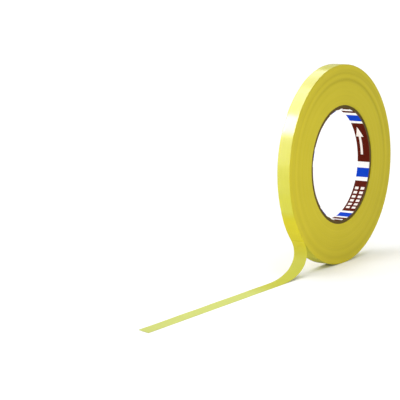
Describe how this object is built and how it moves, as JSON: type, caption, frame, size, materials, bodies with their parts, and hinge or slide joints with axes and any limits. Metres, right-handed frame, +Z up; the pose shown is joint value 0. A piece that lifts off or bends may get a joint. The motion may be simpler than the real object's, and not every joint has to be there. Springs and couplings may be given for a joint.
{
  "type": "adhesive tape roll",
  "caption": "Narrow roll of glossy yellow film tape on a printed paperboard core, standing on edge with its free tail bent down and laid along the floor.",
  "frame": {"origin": "middle of the part's bounding box in X and Y, on the floor that the roll and its tail stand on", "axes": "+X along the roll's axis, out of the side that shows the printed liner; the tail runs along -Y and the roll is at +Y; +Z up"},
  "size_m": [0.01, 0.2994, 0.137],
  "materials": {
    "film": "glossy yellow film, slightly translucent, with fine winding rings on the roll's sides",
    "board": "brown core board, matte, cut edge",
    "liner_paper": "smooth white paper printed with blue and maroon bars and plain marks"
  },
  "bodies": {
    "tail_base": {"tail_root": "film"},
    "roll": {"core_liner": "liner_paper", "core_inner_ply": "board", "core_middle_ply": "board", "core_outer_ply": "board", "tape_inner_turns": "film", "tape_outer_turns": "film", "tape_top_lap": "film"},
    "tail_middle": {"tail_run": "film"},
    "tail_end": {"tail_tip": "film"}
  },
  "joints": [
    {"name": "roll_turn", "type": "hinge", "parent": "tail_base", "child": "roll", "pos_m": [0, 0.0812, 0.0685], "axis": [1, 0, 0], "continuous": true},
    {"name": "tail_lift", "type": "hinge", "parent": "tail_base", "child": "tail_middle", "pos_m": [0, -0.0038, 0.00015], "axis": [-1, 0, 0], "range_deg": [0, 60]},
    {"name": "tip_lift", "type": "hinge", "parent": "tail_middle", "child": "tail_end", "pos_m": [0, -0.0758, 0.00015], "axis": [-1, 0, 0], "range_deg": [0, 60]}
  ]
}
